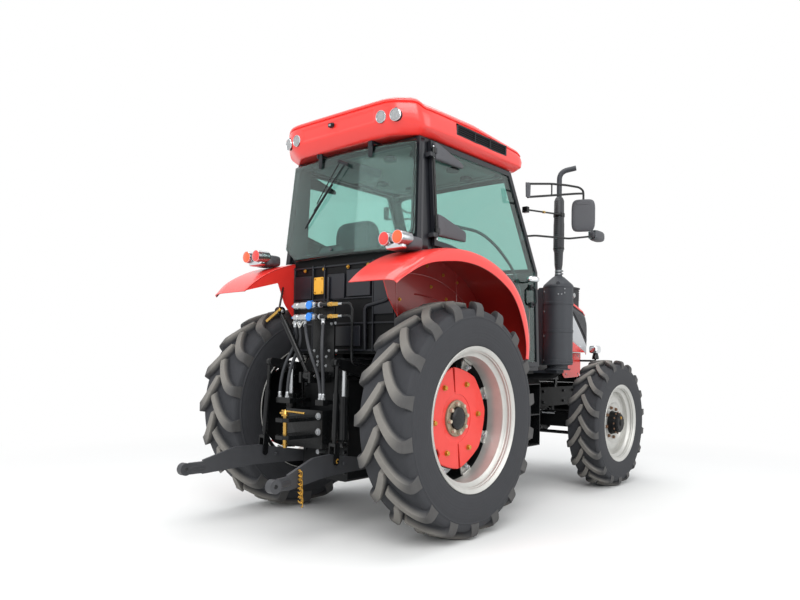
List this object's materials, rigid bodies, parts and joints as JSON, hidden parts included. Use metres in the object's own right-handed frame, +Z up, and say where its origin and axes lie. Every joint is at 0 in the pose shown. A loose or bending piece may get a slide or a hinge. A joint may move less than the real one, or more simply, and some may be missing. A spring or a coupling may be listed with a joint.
{
  "type": "farm tractor",
  "caption": "Four-wheel-drive farm tractor with a closed two-door cab, side exhaust stack, nose weights and a rear three-point hitch",
  "frame": {"origin": "On the ground under the middle of the whole tractor", "axes": "+X forward, +Y to the driver's left, +Z up"},
  "size_m": [4.943, 2.124, 3.1163],
  "materials": {
    "tyre_rubber": "matte",
    "rim_silver": "satin",
    "cast_black": "satin",
    "steel_black": "satin",
    "paint_red": "gloss",
    "door_black": "satin",
    "cab_glass": "clear",
    "cab_plastic": "matte",
    "seat_base_plastic": "matte",
    "seat_cloth": "woven",
    "lamp_plastic": "clear lens",
    "hose_rubber": "matte",
    "pipe_steel": "brushed",
    "pin_brass": "polished"
  },
  "bodies": {
    "chassis": {"transmission_housing": "cast_black", "rear_axle": "cast_black", "pto_shaft": "steel_black", "front_drive_shaft": "steel_black", "engine_block": "cast_black", "front_frame": "cast_black", "front_axle": "cast_black", "front_weights": "cast_black", "lower_panels": "paint_red", "fender_left": "paint_red", "fender_right": "paint_red", "cab_frame": "steel_black", "cab_roof": "paint_red", "cab_tub": "door_black", "windshield": "cab_glass", "dashboard": "cab_plastic", "seat_base": "seat_base_plastic", "seat_cushion": "seat_cloth", "seat_backrest": "seat_cloth", "muffler": "steel_black", "fuel_tank": "cab_plastic", "battery_box": "steel_black", "steps": "steel_black", "mirrors": "cab_plastic", "roof_lamps": "lamp_plastic", "front_lamps": "lamp_plastic", "tail_lamps": "lamp_plastic", "tow_hitch": "steel_black", "tow_pin": "pin_brass", "hitch_frame": "steel_black", "top_link": "steel_black", "hydraulic_couplers": "pipe_steel", "hydraulic_hoses": "hose_rubber", "return_pipes": "pipe_steel"},
    "hood": {"hood": "paint_red"},
    "door_left": {"door_frame_left": "door_black", "door_glass_left": "cab_glass"},
    "door_right": {"door_frame_right": "door_black", "door_glass_right": "cab_glass"},
    "rear_window": {"rear_window": "cab_glass", "rear_window_hinges": "steel_black"},
    "steering_wheel": {"steering_wheel": "cab_plastic"},
    "wheel_rear_left": {"tyre_rear_left": "tyre_rubber", "wheel_rear_left": "rim_silver"},
    "wheel_rear_right": {"tyre_rear_right": "tyre_rubber", "wheel_rear_right": "rim_silver"},
    "knuckle_left": {"knuckle_left": "cast_black"},
    "knuckle_right": {"knuckle_right": "cast_black"},
    "tie_rod": {"tie_rod": "steel_black"},
    "wheel_front_left": {"tyre_front_left": "tyre_rubber", "wheel_front_left": "rim_silver"},
    "wheel_front_right": {"tyre_front_right": "tyre_rubber", "wheel_front_right": "rim_silver"},
    "lower_links": {"lower_link_left": "steel_black", "lower_link_right": "steel_black"},
    "lift_arms": {"lift_arms": "steel_black"},
    "lift_rods": {"lift_rods": "steel_black"},
    "lift_cylinders": {"lift_cylinders": "steel_black"},
    "lift_cylinder_rods": {"lift_cylinder_rods": "steel_black"}
  },
  "joints": [
    {"name": "wheel_rear_left_spin", "type": "hinge", "parent": "chassis", "child": "wheel_rear_left", "pos_m": [-1.1295, 0.85, 0.825], "axis": [0, 1, 0], "continuous": true},
    {"name": "wheel_rear_right_spin", "type": "hinge", "parent": "chassis", "child": "wheel_rear_right", "pos_m": [-1.1295, -0.85, 0.825], "axis": [0, 1, 0], "continuous": true},
    {"name": "steer_left", "type": "hinge", "parent": "chassis", "child": "knuckle_left", "pos_m": [1.5515, 0.64, 0.625], "axis": [0, 0, 1], "range_deg": [-38, 38]},
    {"name": "steer_right", "type": "hinge", "parent": "chassis", "child": "knuckle_right", "pos_m": [1.5515, -0.64, 0.625], "axis": [0, 0, 1], "range_deg": [-38, 38]},
    {"name": "tie_rod_turn", "type": "hinge", "parent": "knuckle_left", "child": "tie_rod", "pos_m": [1.3515, 0.64, 0.625], "axis": [0, 0, 1], "range_deg": [-38, 38]},
    {"name": "wheel_front_left_spin", "type": "hinge", "parent": "knuckle_left", "child": "wheel_front_left", "pos_m": [1.5515, 0.82, 0.625], "axis": [0, 1, 0], "continuous": true},
    {"name": "wheel_front_right_spin", "type": "hinge", "parent": "knuckle_right", "child": "wheel_front_right", "pos_m": [1.5515, -0.82, 0.625], "axis": [0, 1, 0], "continuous": true},
    {"name": "door_left_hinge", "type": "hinge", "parent": "chassis", "child": "door_left", "pos_m": [-1.1915, 0.71507, 2.42555], "axis": [0, -0.061, 0.9981], "range_deg": [0, 75]},
    {"name": "door_right_hinge", "type": "hinge", "parent": "chassis", "child": "door_right", "pos_m": [-1.1915, -0.71507, 2.42555], "axis": [0, -0.061, -0.9981], "range_deg": [0, 75]},
    {"name": "rear_window_hinge", "type": "hinge", "parent": "chassis", "child": "rear_window", "pos_m": [-1.3915, 0, 2.81], "axis": [0, 1, 0], "range_deg": [0, 65]},
    {"name": "hood_hinge", "type": "hinge", "parent": "chassis", "child": "hood", "pos_m": [0.4005, 0, 1.93], "axis": [0, -1, 0], "range_deg": [0, 50]},
    {"name": "steering_wheel_turn", "type": "hinge", "parent": "chassis", "child": "steering_wheel", "pos_m": [-0.4895, 0, 1.98], "axis": [-0.5299, 0, 0.848], "continuous": true},
    {"name": "lift_arms_turn", "type": "hinge", "parent": "chassis", "child": "lift_arms", "pos_m": [-1.4095, 0, 1.13], "axis": [0, 1, 0], "range_deg": [-17.7, 31.6]},
    {"name": "lower_links_turn", "type": "hinge", "parent": "chassis", "child": "lower_links", "pos_m": [-1.4095, 0, 0.48], "axis": [0, 1, 0], "range_deg": [-15.9, 28.2]},
    {"name": "lift_rods_turn", "type": "hinge", "parent": "lower_links", "child": "lift_rods", "pos_m": [-1.8345, 0, 0.54], "axis": [0, 1, 0], "range_deg": [-26.7, 15]},
    {"name": "lift_cylinders_turn", "type": "hinge", "parent": "chassis", "child": "lift_cylinders", "pos_m": [-1.6495, 0, 0.64], "axis": [0, 1, 0], "range_deg": [-2.4, 4.2]},
    {"name": "lift_cylinder_stroke", "type": "slide", "parent": "lift_cylinders", "child": "lift_cylinder_rods", "axis": [0.0093, 0, 1], "range_m": [-0.071, 0.125]}
  ],
  "couplings": [
    {"joint": "steer_right", "follows": "steer_left", "ratio": 1},
    {"joint": "tie_rod_turn", "follows": "steer_left", "ratio": -1},
    {"joint": "lower_links_turn", "follows": "lift_arms_turn", "ratio": 0.8871},
    {"joint": "lift_rods_turn", "follows": "lift_arms_turn", "ratio": -0.8407},
    {"joint": "lift_cylinders_turn", "follows": "lift_arms_turn", "ratio": 0.1284},
    {"joint": "lift_cylinder_stroke", "follows": "lift_arms_turn", "m_per_rad": 0.22438}
  ]
}
